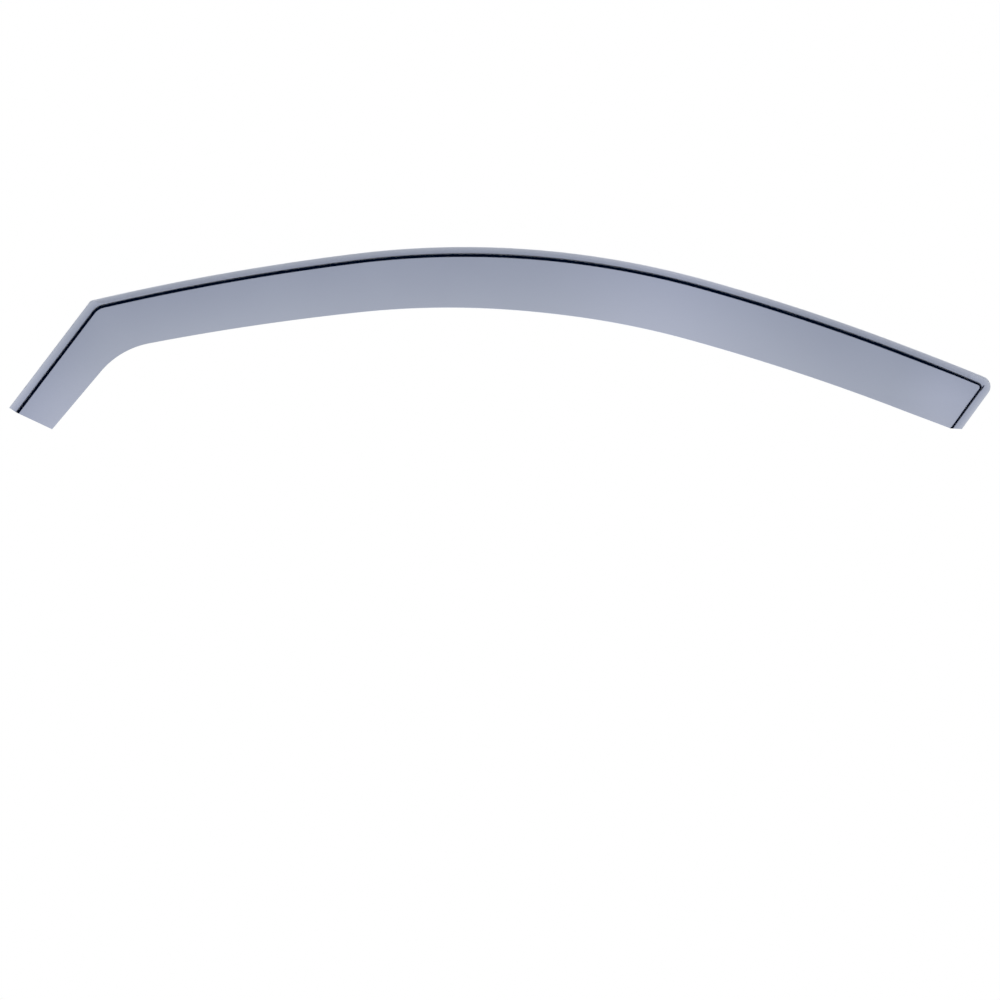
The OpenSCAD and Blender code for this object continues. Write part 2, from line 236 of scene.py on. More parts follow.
@dataclass(frozen=True)
class PlanOutline:
    """The sheet's outline in plan: flange rim, shoulder line and lower edge."""

    roof: RoofLine = RoofLine()
    leg_heading: float = 52.7
    leg_len: float = 121.7
    bend_r: float = 17.0
    bend_outer_r: float = 3.0
    bend_inner_r: float = 80.0
    leg_lower_heading: float = 49.8
    tip_cut_heading: float = -25.1
    tip_flange_heading: float = -33.0
    tip_width: float = 38.0
    corner_r: float = 4.2
    corner_outer_r: float = 10.0
    return_heading: float = -126.1
    return_cut_heading: float = -3.0
    width_bend: float = 44.7
    width_crown: float = 51.6
    width_wide: float = 53.0
    wide_at: float = 115.0
    width_rear: float = 51.8
    width_foot: float = 50.3
    foot_run: float = 60.0
    flange_w: float = 7.0
    leg_flange_w: float = 8.5
    return_flange_w: float = 7.8
    leg_wall_t: float = 2.2
    wall_t: float = 2.5
    return_wall_t: float = 1.6
    easing_len: float = 80.0
    corner_span: float = 8.4
    short_run: float = 0.854
    leg_steps: int = 40
    bend_steps: int = 24
    roof_steps: int = 280
    corner_steps: int = 28
    return_steps: int = 20
    halvings: int = 40

    @property
    def bend_turn(self) -> float:
        """Degrees that the shoulder line turns at the bend."""
        return self.leg_heading - self.roof.bend_heading

    @property
    def leg_total(self) -> float:
        """Length of the shoulder line from the leg's tip to the end of the bend."""
        return self.leg_len + self.bend_r * math.radians(self.bend_turn)

    @property
    def leg_top(self) -> np.ndarray:
        """Top of the leg's straight stretch."""
        return arc_to(self.roof.point(0), self.bend_r, self.roof.bend_heading, self.leg_heading)

    @property
    def leg_tip(self) -> np.ndarray:
        """Foot of the shoulder line on the leg."""
        return self.leg_top - self.leg_len * along(self.leg_heading)

    @property
    def lower_tip(self) -> np.ndarray:
        """Free corner of the visor at the leg's tip."""
        return self.leg_tip + self.tip_width * along(self.tip_cut_heading)

    @property
    def return_top(self) -> np.ndarray:
        """Top of the straight stretch down the rear end."""
        end = self.roof.point(self.roof.length)
        return arc_to(end, self.corner_r, self.roof.rear_heading, self.return_heading)

    @property
    def widths(self) -> Law:
        """Width of the visor along the roof line."""
        roof = self.roof
        return Law(((0.0, self.width_bend), (roof.crown_at, self.width_crown),
                    (roof.crown_at + self.wide_at, self.width_wide),
                    (roof.length - self.foot_run, self.width_rear), (roof.length, self.width_foot)))

    def lower(self, s: float) -> np.ndarray:
        """Gives the visor's lower edge below a place s on the roof line."""
        return self.roof.point(s) - self.widths.at(s) * leftward(self.roof.heading(s))

    def lower_heading(self, s: float) -> float:
        """Gives the heading of the lower edge below a place s, in degrees."""
        run = self.lower(s + self.short_run) - self.lower(s)
        return math.degrees(math.atan2(run[1], run[0]))

    def inner_centre(self, s: float) -> np.ndarray:
        """Gives the centre of an inner bend arc that leaves the lower edge at s."""
        return self.lower(s) - self.bend_inner_r * leftward(self.lower_heading(s))

    def turning_place(self, sign_of: Callable[[float], float], low: float, high: float) -> float:
        """Finds where a function turns from negative to positive.

        Args:
            sign_of: Function of a place along the shoulder line.
            low: Place where it is negative.
            high: Place where it is positive.

        Returns:
            The place where it is zero.
        """
        for _ in range(self.halvings):
            middle = (low + high) / 2
            if sign_of(middle) > 0:
                high = middle
            else:
                low = middle
        return (low + high) / 2

    def lower_start(self) -> float:
        """Finds where the inner bend's arc touches both the roof stretch and the leg."""
        leg = along(self.leg_lower_heading)
        return self.turning_place(
            lambda s: -cross_of(leg, self.inner_centre(s) - self.lower_tip) - self.bend_inner_r,
            0.0, self.roof.crown_at)

    def lower_end(self) -> float:
        """Finds where the lower edge meets the inner face of the rear shoulder wall."""
        down = along(self.return_heading)
        return self.turning_place(
            lambda s: cross_of(down, self.lower(s) - self.return_top) + self.return_wall_t,
            self.roof.length - 2 * self.width_rear, self.roof.length)

    @staticmethod
    def corner_centre(p: np.ndarray, come: float, q: np.ndarray, leave: float,
                      radius: float) -> np.ndarray:
        """Finds the centre of a rounded corner between two straight edges.

        Args:
            p: A point on the first edge.
            come: Heading of the first edge.
            q: A point on the second edge.
            leave: Heading of the second edge.
            radius: Radius of the corner.

        Returns:
            The centre of its arc.
        """
        reach = cross_of(q - p, along(leave)) / cross_of(along(come), along(leave))
        corner = p + reach * along(come)
        half_turn = math.cos(math.radians((come - leave) / 2))
        return corner - radius / half_turn * leftward((come + leave) / 2)

    def leg_stations(self) -> Iterator[Station]:
        """Cuts the leg.

        Yields:
            The stations, from its tip to the bend.
        """
        centre = self.inner_centre(self.lower_start())
        lower_top = centre + self.bend_inner_r * leftward(self.leg_lower_heading)
        for i in range(self.leg_steps):
            t = i / self.leg_steps
            place = mix(self.leg_tip, self.leg_top, t)
            cut = mix(self.tip_cut_heading, self.leg_heading - 90, t)
            flange_cut = mix(self.tip_flange_heading, self.leg_heading - 90, t)
            skew = math.cos(math.radians(flange_cut - self.leg_heading + 90))
            rim = place - along(flange_cut) * self.leg_flange_w / skew
            yield Station(place, self.leg_heading, cut, flange_cut, self.leg_wall_t, rim,
                          mix(self.lower_tip, lower_top, t), self.leg_len * t - self.leg_total)

    def bend_stations(self) -> Iterator[Station]:
        """Cuts the bend.

        Yields:
            The stations, from the leg to the roof line.
        """
        roof, start = self.roof, self.lower_start()
        outer = self.corner_centre(
            self.leg_top + self.leg_flange_w * leftward(self.leg_heading), self.leg_heading,
            roof.point(0) + self.flange_w * leftward(roof.bend_heading), roof.bend_heading,
            self.bend_outer_r)
        inner = self.inner_centre(start)
        for i in range(self.bend_steps):
            t = i / self.bend_steps
            heading = mix(self.leg_heading, roof.bend_heading, t)
            lower_turn = mix(self.leg_lower_heading, self.lower_heading(start), t)
            yield Station(
                arc_to(roof.point(0), self.bend_r, roof.bend_heading, heading), heading,
                heading - 90, heading - 90, mix(self.leg_wall_t, self.wall_t, t),
                outer + self.bend_outer_r * leftward(heading),
                inner + self.bend_inner_r * leftward(lower_turn),
                (t - 1) * self.bend_r * math.radians(self.bend_turn))

    def roof_stations(self) -> Iterator[Station]:
        """Cuts the roof line.

        Yields:
            The stations, from the bend to the rear corner.
        """
        length = self.roof.length
        eased = length - self.easing_len
        walls = Law(((0.0, self.wall_t), (eased, self.wall_t), (length, self.return_wall_t)))
        flanges = Law(((0.0, self.flange_w), (eased, self.flange_w), (length, self.return_flange_w)))
        start, stop = self.lower_start(), self.lower_end() - self.corner_span
        for i in range(self.roof_steps):
            t = i / self.roof_steps
            s = length * t
            heading, place = self.roof.heading(s), self.roof.point(s)
            yield Station(place, heading, heading - 90, heading - 90, walls.at(s),
                          place + flanges.at(s) * leftward(heading), self.lower(mix(start, stop, t)), s)

    def rear_stations(self) -> Iterator[Station]:
        """Cuts the rear corner and the rear end, which share the lower edge's last stretch.

        Yields:
            The stations, from the roof line to the foot of the rear end.
        """
        roof, end = self.roof, self.lower_end()
        outer = self.corner_centre(
            roof.point(roof.length) + self.return_flange_w * leftward(roof.rear_heading),
            roof.rear_heading,
            self.return_top + self.return_flange_w * leftward(self.return_heading),
            self.return_heading, self.corner_outer_r)
        foot_skew = math.cos(math.radians(self.return_cut_heading - self.return_heading - 90))
        foot = self.lower(end) + along(self.return_cut_heading) * self.return_wall_t / foot_skew
        steps = self.corner_steps + self.return_steps
        for i in range(steps + 1):
            lower = self.lower(end - self.corner_span * (1 - i / steps))
            if i <= self.corner_steps:
                heading = mix(roof.rear_heading, self.return_heading, i / self.corner_steps)
                place = arc_to(roof.point(roof.length), self.corner_r, roof.rear_heading, heading)
                cut = heading - 90
                rim = outer + self.corner_outer_r * leftward(heading)
            else:
                t = (i - self.corner_steps) / self.return_steps
                heading = self.return_heading
                place = mix(self.return_top, foot, t)
                cut = mix(heading - 90, self.return_cut_heading - 180, t)
                skew = math.cos(math.radians(cut - heading + 90))
                rim = place - along(cut) * self.return_flange_w / skew
            yield Station(place, heading, cut, cut, self.return_wall_t, rim, lower, roof.length)

    def stations(self) -> list[Station]:
        """Cuts the whole sheet, from the leg's tip to the foot of the rear end."""
        return [*self.leg_stations(), *self.bend_stations(), *self.roof_stations(),
                *self.rear_stations()]


@dataclass(frozen=True)
class RailPoint:
    """A point of one rail before the sheet is moulded over the glass."""

    plan: np.ndarray
    lift: float
    # Share of painted shade at the point, for the shoulder seen edge-on.
    edge_on: float = 0.0
    cut_edge: float = 0.0


def straight(start: np.ndarray, stop: np.ndarray, low: float, high: float,
             rows: int) -> list[RailPoint]:
    """Gives the points that part a straight stretch of the section into equal rows."""
    return [RailPoint(mix(start, stop, t), mix(low, high, t)) for t in between(rows)]


@dataclass(frozen=True)
class SectionCut:
    """The section's sizes at one station."""

    st: Station
    top: float
    flare: float
    fillet: float
    heel: float
    wall_share: float
    rim_run: np.ndarray
    foot_run: np.ndarray

    def face(self, share: float) -> float:
        """Gives the lift of the visor's outer face at a share of its width."""
        return self.top + self.flare * math.sin(math.pi / 2 * share)


@dataclass(frozen=True)
class SheetSection:
    """The sheet's section: thicknesses, step, flare and small radii."""

    outline: PlanOutline = PlanOutline()
    sheet_t: float = 3.0
    edge_t: float = 2.4
    rim_t: float = 2.0
    step_tip: float = 7.0
    step_bend: float = 8.0
    step_crown: float = 9.0
    step_rear: float = 6.0
    flare_tip: float = 2.0
    flare_bend: float = 4.0
    flare_crown: float = 5.0
    flare_rear: float = 0.5
    fillet_r: float = 1.8
    return_fillet_r: float = 1.0
    fillet_run: float = 20.0
    heel_r: float = 1.2
    heel_share: float = 0.8
    edge_r: float = 0.6
    rim_r: float = 0.8
    foot_r: float = 0.3
    foot_share: float = 0.25
    nook_r: float = 0.5
    flange_rows: int = 5
    wall_rows: int = 3
    visor_rows: int = 18
    arc_rows: int = 4
    # Runs over which the painted edge shade fades out, on the front face and on the back.
    edge_shade_fade: float = 0.15
    edge_shade_run: float = 0.6
    least_width: float = 1e-6

    def along_line(self, tip: float, bend: float, crown: float, rear: float) -> Law:
        """Makes a law from its values at the leg's tip, the bend, the crown and the rear."""
        roof = self.outline.roof
        return Law(((-self.outline.leg_total, tip), (0.0, bend), (roof.crown_at, crown),
                    (roof.length, rear)))

    @property
    def steps(self) -> Law:
        """Height of the shoulder along the shoulder line."""
        return self.along_line(self.step_tip, self.step_bend, self.step_crown, self.step_rear)

    @property
    def flares(self) -> Law:
        """Outward rise of the visor along the shoulder line."""
        return self.along_line(self.flare_tip, self.flare_bend, self.flare_crown, self.flare_rear)

    @property
    def fillets(self) -> Law:
        """Radius of the fillet along the shoulder line."""
        length = self.outline.roof.length
        return Law(((0.0, self.fillet_r), (length - self.fillet_run, self.fillet_r),
                    (length, self.return_fillet_r)))

    @property
    def quarter(self) -> list[tuple[float, float]]:
        """Sine and cosine of each step of a small quarter round."""
        turns = [math.pi / 2 * i / self.arc_rows for i in range(self.arc_rows + 1)]
        return [(math.sin(t), math.cos(t)) for t in turns]

    def cut_at(self, st: Station) -> SectionCut:
        """Works out the section's sizes.

        Args:
            st: The station that is cut.

        Returns:
            The sizes there.
        """
        rim_in = (st.place - st.rim) / np.linalg.norm(st.place - st.rim)
        visor_top = st.inward(self.edge_r)
        width = np.linalg.norm(st.lower - visor_top)
        lower_in = (visor_top - st.lower) / max(width, self.least_width)
        return SectionCut(
            st, self.sheet_t + self.steps.at(st.s), self.flares.at(st.s), self.fillets.at(st.s),
            min(self.heel_r, st.wall * self.heel_share),
            (st.wall - self.edge_r) / max(width, st.wall),
            rim_in * self.rim_r, lower_in * min(self.foot_r, width * self.foot_share))

    def inner_face(self, cut: SectionCut, share: float) -> float:
        """Gives the lift of the visor's inner face at a share of its width."""
        return cut.face(share) - mix(self.sheet_t, self.edge_t, share)

    def cut_round(self, edge: np.ndarray, run: np.ndarray, lift: float, rise: float) -> list[RailPoint]:
        """Rounds a cut edge, from its outermost line at lift + rise to the face at lift."""
        return [RailPoint(edge + run * (1 - cosine), lift + rise * (1 - sine), cut_edge=1 - sine)
                for sine, cosine in self.quarter]

    def flange_front(self, cut: SectionCut) -> list[RailPoint]:
        """Draws the rim's outer round, the flange's outer face and the fillet.

        Args:
            cut: The section's sizes.

        Returns:
            The points, in the order of the ring.
        """
        st = cut.st
        fillet = [RailPoint(st.inward(cut.fillet * (sine - 1)), self.sheet_t + cut.fillet * (1 - cosine))
                  for sine, cosine in self.quarter]
        return (self.cut_round(st.rim, cut.rim_run, self.rim_t, -self.rim_r)
                + straight(st.rim + cut.rim_run, st.inward(-cut.fillet), self.rim_t, self.sheet_t,
                           self.flange_rows) + fillet)

    def visor_front(self, cut: SectionCut) -> list[RailPoint]:
        """Draws the shoulder's outer wall, its edge and the visor's outer face, with painted shade over
        the edge.

        Args:
            cut: The section's sizes.

        Returns:
            The points, in the order of the ring.
        """
        st, lift = cut.st, cut.face(cut.wall_share)
        wall = straight(st.place, st.place, self.sheet_t + cut.fillet, cut.top - self.edge_r,
                        self.wall_rows)
        # The edge's round and the band over the wall carry painted shade, full at the wall.
        edge = [RailPoint(st.inward(self.edge_r * (1 - cosine)), cut.top - self.edge_r * (1 - sine),
                          edge_on=sine) for sine, cosine in self.quarter]
        start, stop = st.inward(st.wall + self.edge_shade_fade), st.lower + cut.foot_run
        visor = [RailPoint(mix(start, stop, t), cut.face(mix(cut.wall_share, 1.0, t)))
                 for t in between(self.visor_rows)]
        return [*wall, *edge, RailPoint(st.inward(st.wall), lift, edge_on=1.0),
                RailPoint(start, lift), *visor]

    def visor_back(self, cut: SectionCut) -> list[RailPoint]:
        """Draws the visor's inner face, the nook, the shoulder's inner wall and its heel, which carries
        painted shade.

        Args:
            cut: The section's sizes.

        Returns:
            The points, in the order of the ring.
        """
        st, lift = cut.st, self.inner_face(cut, cut.wall_share)
        start, stop = st.lower + cut.foot_run, st.inward(st.wall + self.nook_r)
        visor = [RailPoint(mix(start, stop, t), self.inner_face(cut, mix(1.0, cut.wall_share, t)))
                 for t in between(self.visor_rows)]
        nook = [RailPoint(st.inward(st.wall + self.nook_r * (1 - sine)),
                          lift - self.nook_r * (1 - cosine)) for sine, cosine in self.quarter]
        foot = st.inward(st.wall)
        wall = straight(foot, foot, lift - self.nook_r, cut.heel, self.wall_rows)
        # The heel carries painted shade, full where it meets the flange's back.
        heel = [RailPoint(st.inward(st.wall - cut.heel * (1 - cosine)), cut.heel * (1 - sine),
                          edge_on=sine) for sine, cosine in self.quarter]
        return visor + nook + wall + heel

    def ring(self, st: Station) -> list[RailPoint]:
        """Draws the closed section at a station, from the flange's rim round the front.

        Args:
            st: The station that is cut.

        Returns:
            The points of the section, each on one rail of the sheet.
        """
        cut = self.cut_at(st)
        free, past_heel = cut.face(1.0), st.inward(-self.edge_shade_run)
        return [
            *self.flange_front(cut), *self.visor_front(cut),
            *self.cut_round(st.lower, cut.foot_run, free, -self.foot_r)[::-1],
            *self.cut_round(st.lower, cut.foot_run, free - self.edge_t, self.foot_r),
            # The painted shade fades out along the flange's back past the heel.
            *self.visor_back(cut), RailPoint(st.place, 0.0, edge_on=1.0), RailPoint(past_heel, 0.0),
            *straight(past_heel, st.rim + cut.rim_run, 0.0, 0.0, self.flange_rows),
            *self.cut_round(st.rim, cut.rim_run, 0.0, self.rim_r)[::-1]]


class NodeTree:
    """A short way to add and wire the nodes of a tree."""

    def __init__(self, tree: bpy.types.NodeTree) -> None:
        """Keeps the tree and empties it."""
        self.tree = tree
        tree.nodes.clear()

    def add(self, kind: str, values: dict | None = None, **settings) -> bpy.types.Node:
        """Adds a node.

        Args:
            kind: Blender's name of the node type.
            values: Input name or number, and the value or output that goes in.
            **settings: Properties of the node.

        Returns:
            The node.
        """
        node = self.tree.nodes.new(kind)
        for name, value in settings.items():
            setattr(node, name, value)
        for name, value in (values or {}).items():
            if isinstance(value, Socket):
                self.tree.links.new(value, node.inputs[name])
            else:
                node.inputs[name].default_value = value
        return node

    def math(self, operation: str, a: Feed, b: Feed = 0.0) -> Socket:
        """Adds a Math node of the tree's kind and gives its result."""
        return self.add("ShaderNodeMath", {0: a, 1: b}, operation=operation).outputs[0]

    def whole(self, operation: str, a: Feed, b: Feed) -> Socket:
        """Adds an Integer Math node and gives its result."""
        return self.add("FunctionNodeIntegerMath", {0: a, 1: b}, operation=operation).outputs[0]

    def blend(self, factor: Feed, a: Feed | Colour, b: Feed | Colour,
              kind: str = "RGBA") -> Socket:
        """Adds a Mix node, which goes from a to b by its factor, and gives its result."""
        values = {"Factor": factor, "A": a, "B": b}
        return self.add("ShaderNodeMix", values, data_type=kind).outputs["Result"]


@dataclass(frozen=True)
class SheetSkin:
    """A Geometry Nodes tree that skins closed rails and moulds the skin over the side glass."""

    name: str = "moulded_sheet"
    # Share of painted edge shade from which the sheet gets the painted shoulder shade material.
    painted_shade_from: float = 0.5
    merge_distance: float = 1e-7
    sockets: tuple[tuple[str, str], ...] = (
        ("Rails", "Geometry"), ("Stations", "Int"), ("Rails in ring", "Int"),
        ("Glass plan radius", "Float"), ("Glass side radius", "Float"), ("Glass level", "Float"),
        ("Finish", "Material"), ("Painted shoulder shade", "Material"))

    def tree(self) -> bpy.types.NodeTree:
        """Builds the tree: a grid whose points are read from the rails, then moulded and dressed, with
        painted shade on the shoulder.

        Returns:
            The tree.
        """
        group = bpy.data.node_groups.new(self.name, "GeometryNodeTree")
        for label, kind in self.sockets:
            group.interface.new_socket(label, in_out="INPUT", socket_type="NodeSocket" + kind)
        group.interface.new_socket("Sheet", in_out="OUTPUT", socket_type="NodeSocketGeometry")
        nodes = NodeTree(group)
        into = nodes.add("NodeGroupInput").outputs
        moulded = nodes.add("GeometryNodeSetPosition", {
            "Geometry": self.skin(nodes, into), "Offset": self.fall(nodes, into)})
        smooth = nodes.add("GeometryNodeSetShadeSmooth", {"Geometry": moulded.outputs[0]})
        real = nodes.add("GeometryNodeRealizeInstances", {"Geometry": smooth.outputs[0]})
        dressed = nodes.add("GeometryNodeSetMaterial", {
            "Geometry": real.outputs[0], "Material": into["Finish"]})
        # Where the painted edge shade is full, the near-black painted shade material goes on.
        mark = self.mark(nodes, Finish.EDGE_ON)
        dressed = nodes.add("GeometryNodeSetMaterial", {
            "Geometry": dressed.outputs[0], "Material": into["Painted shoulder shade"],
            "Selection": nodes.math("GREATER_THAN", mark, self.painted_shade_from)})
        nodes.add("NodeGroupOutput", {"Sheet": dressed.outputs[0]})
        return group

    @staticmethod
    def mark(nodes: NodeTree, finish: Finish) -> Socket:
        """Reads a finish mark of the points and gives its output."""
        read = nodes.add("GeometryNodeInputNamedAttribute", {"Name": finish.value}, data_type="FLOAT")
        return read.outputs["Attribute"]

    def skin(self, nodes: NodeTree, into: bpy.types.bpy_prop_collection) -> Socket:
        """Lays a grid of one column a station and one row a rail, closed round the section.

        Args:
            nodes: The tree that is built.
            into: Outputs of its input node.

        Returns:
            The skin, with its finish marks.
        """
        across = nodes.whole("ADD", into["Rails in ring"], 1)
        grid = nodes.add("GeometryNodeMeshGrid", {
            "Vertices X": into["Stations"], "Vertices Y": across})
        index = nodes.add("GeometryNodeInputIndex").outputs[0]
        station = nodes.whole("DIVIDE_FLOOR", index, across)
        rail = nodes.whole("MODULO", nodes.whole("MODULO", index, across), into["Rails in ring"])
        source = nodes.whole("ADD", nodes.whole("MULTIPLY", rail, into["Stations"]), station)

        def sampled(kind: str, value: Socket) -> Socket:
            """Reads a value from the rail point that a grid point stands for."""
            return nodes.add("GeometryNodeSampleIndex", {
                "Geometry": into["Rails"], "Value": value, "Index": source},
                data_type=kind, domain="POINT").outputs[0]

        place = sampled("FLOAT_VECTOR", nodes.add("GeometryNodeInputPosition").outputs[0])
        skin = nodes.add("GeometryNodeSetPosition", {
            "Geometry": grid.outputs["Mesh"], "Position": place}).outputs[0]
        for finish in Finish:
            skin = nodes.add("GeometryNodeStoreNamedAttribute", {
                "Geometry": skin, "Name": finish.value,
                "Value": sampled("FLOAT", self.mark(nodes, finish))},
                data_type="FLOAT", domain="POINT").outputs[0]
        return nodes.add("GeometryNodeMergeByDistance", {
            "Geometry": skin, "Distance": self.merge_distance}).outputs[0]

    @staticmethod
    def fall(nodes: NodeTree, into: bpy.types.bpy_prop_collection) -> Socket:
        """Works out how far the glass falls back from its upright tangent at each point.

        Args:
            nodes: The tree that is built.
            into: Outputs of its input node.

        Returns:
            The vector that moulds a flat point over the glass.
        """
        level = into["Glass level"]
        place = nodes.add("GeometryNodeInputPosition").outputs[0]
        apart = nodes.add("ShaderNodeSeparateXYZ", {0: place}).outputs
        below = nodes.math("ADD", apart["Z"], level)
        side = nodes.math("SUBTRACT", nodes.math("MULTIPLY", below, below),
                          nodes.math("MULTIPLY", level, level))
        side = nodes.math("DIVIDE", side, nodes.math("MULTIPLY", into["Glass side radius"], 2.0))
        plan = nodes.math("DIVIDE", nodes.math("MULTIPLY", apart["X"], apart["X"]),
                          nodes.math("MULTIPLY", into["Glass plan radius"], 2.0))
        return nodes.add("ShaderNodeCombineXYZ", {"Y": nodes.math("ADD", side, plan)}).outputs[0]


@dataclass(frozen=True)
class Mottling:
    """A shader group: soft, broad unevenness that a mould or a roller leaves."""

    name: str = "mottling"
    broad_detail: float = 2.0
    broad_roughness: float = 0.45
    fine_detail: float = 3.0
    fine_roughness: float = 0.5
    noise_low: float = 0.3
    noise_high: float = 0.7

    def group(self) -> bpy.types.NodeTree:
        """Builds the group once and gives it again after that.

        Returns:
            The group.
        """
        if self.name in bpy.data.node_groups:
            return bpy.data.node_groups[self.name]
        group = bpy.data.node_groups.new(self.name, "ShaderNodeTree")
        for label in ("Broad scale", "Fine scale"):
            group.interface.new_socket(label, in_out="INPUT", socket_type="NodeSocketFloat")
        for label in ("Value", "Grain"):
            group.interface.new_socket(label, in_out="OUTPUT", socket_type="NodeSocketFloat")
        nodes = NodeTree(group)
        into = nodes.add("NodeGroupInput").outputs
        place = nodes.add("ShaderNodeTexCoord").outputs["Object"]
        broad = nodes.add("ShaderNodeTexNoise", {
            "Vector": place, "Scale": into["Broad scale"], "Detail": self.broad_detail,
            "Roughness": self.broad_roughness})
        fine = nodes.add("ShaderNodeTexNoise", {
            "Vector": place, "Scale": into["Fine scale"], "Detail": self.fine_detail,
            "Roughness": self.fine_roughness})
        ranged = nodes.add("ShaderNodeMapRange", {
            "Value": broad.outputs[0], "From Min": self.noise_low, "From Max": self.noise_high})
        nodes.add("NodeGroupOutput", {"Value": ranged.outputs[0], "Grain": fine.outputs[0]})
        return group

    def place(self, nodes: NodeTree, broad: float, fine: float) -> bpy.types.Node:
        """Puts the group in a material, with its two scales per metre, and gives its node."""
        values = {"Broad scale": broad, "Fine scale": fine}
        return nodes.add("ShaderNodeGroup", values, node_tree=self.group())


@dataclass(frozen=True)
class PaintedSheen:
    """A soft spot of painted sheen: the tint is painted paler there as if the studio light lay on it, in
    millimetres.
    """

    x: float
    z: float
    reach: float

    def mask(self, nodes: NodeTree, place: Socket) -> Socket:
        """Gives how much painted sheen each point gets: full at the middle, nothing at the reach.

        Args:
            nodes: The tree that is built.
            place: The point on the piece.

        Returns:
            The mask.
        """
        middle = (self.x * MM, 0.0, self.z * MM)
        away = nodes.add("ShaderNodeVectorMath", {0: place, 1: middle}, operation="DISTANCE")
        return nodes.add("ShaderNodeMapRange", {
            "Value": away.outputs["Value"], "From Min": self.reach * MM, "From Max": 0.0},
            interpolation_type="SMOOTHSTEP").outputs[0]


@dataclass(frozen=True)
class SmokedAcrylic:
    """Clear acrylic with a blue-grey smoke tint, polished on both faces.

    With see_through at 0 it is painted shade: an opaque near-black that stands for the same plastic seen
    edge-on, too deep to let light out.
    """

    name: str = "smoked_acrylic"
    tint: Colour = (0.252, 0.316, 0.498, 1.0)
    density: float = 500.0
    index: float = 1.49
    clear: Colour = (0.875, 0.885, 0.875, 1.0)
    shade: Colour = (0.82, 0.83, 0.83, 1.0)
    # Spots of painted sheen, and the colour of the painted shade where the shoulder is seen edge-on.
    sheen_spots: tuple[PaintedSheen, ...] = ()
    edge_on: Colour = (0.0, 0.005, 0.1, 1.0)
    polish: tuple[float, float] = (0.015, 0.045)
    cut_roughness: float = 0.35
    scales: tuple[float, float] = (9.0, 160.0)
    ripple: float = 0.02
    ripple_depth: float = 0.0005
    see_through: float = 1.0
    gloss: float = 0.5

    def colour(self, nodes: NodeTree, mottling: bpy.types.Node) -> Socket:
        """Mixes the colour: mottled, with painted sheen in its spots and painted shade where it is seen
        edge-on.

        Args:
            nodes: The material's tree.
            mottling: The unevenness of the sheet.

        Returns:
            The colour.
        """
        tone = nodes.blend(mottling.outputs["Value"], self.clear, self.shade)
        # Painted sheen: the tint goes towards white in each spot.
        place, sheen_mask = nodes.add("ShaderNodeTexCoord").outputs["Object"], 0.0
        for stretch in self.sheen_spots:
            sheen_mask = nodes.math("ADD", stretch.mask(nodes, place), sheen_mask)
        tone = nodes.blend(sheen_mask, tone, WHITE)
        # Painted shade where the shoulder is seen edge-on.
        edge_on = nodes.add("ShaderNodeAttribute", attribute_name=Finish.EDGE_ON.value)
        return nodes.blend(edge_on.outputs["Fac"], tone, self.edge_on)

    def build(self) -> bpy.types.Material:
        """Builds the material.

        Returns:
            The material.
        """
        material = bpy.data.materials.new(self.name)
        material.use_nodes = True
        nodes = NodeTree(material.node_tree)
        mottling = Mottling().place(nodes, *self.scales)
        cut_edge = nodes.add("ShaderNodeAttribute", attribute_name=Finish.CUT_EDGE.value)
        polish = nodes.add("ShaderNodeMapRange", {
            "Value": mottling.outputs["Value"], "To Min": self.polish[0], "To Max": self.polish[1]})
        rough = nodes.blend(cut_edge.outputs["Fac"], polish.outputs[0], self.cut_roughness, "FLOAT")
        bump = nodes.add("ShaderNodeBump", {
            "Strength": self.ripple, "Distance": self.ripple_depth, "Height": mottling.outputs["Grain"]})
        surface = nodes.add("ShaderNodeBsdfPrincipled", {
            "Base Color": self.colour(nodes, mottling), "Roughness": rough, "Normal": bump.outputs[0],
            "IOR": self.index, "Transmission Weight": self.see_through, "Specular IOR Level": self.gloss})
        ends = {"Surface": surface.outputs[0]}
        if self.see_through > 0:
            volume = nodes.add("ShaderNodeVolumeAbsorption", {
                "Color": self.tint, "Density": self.density})
            ends["Volume"] = volume.outputs[0]
        nodes.add("ShaderNodeOutputMaterial", ends)
        return material


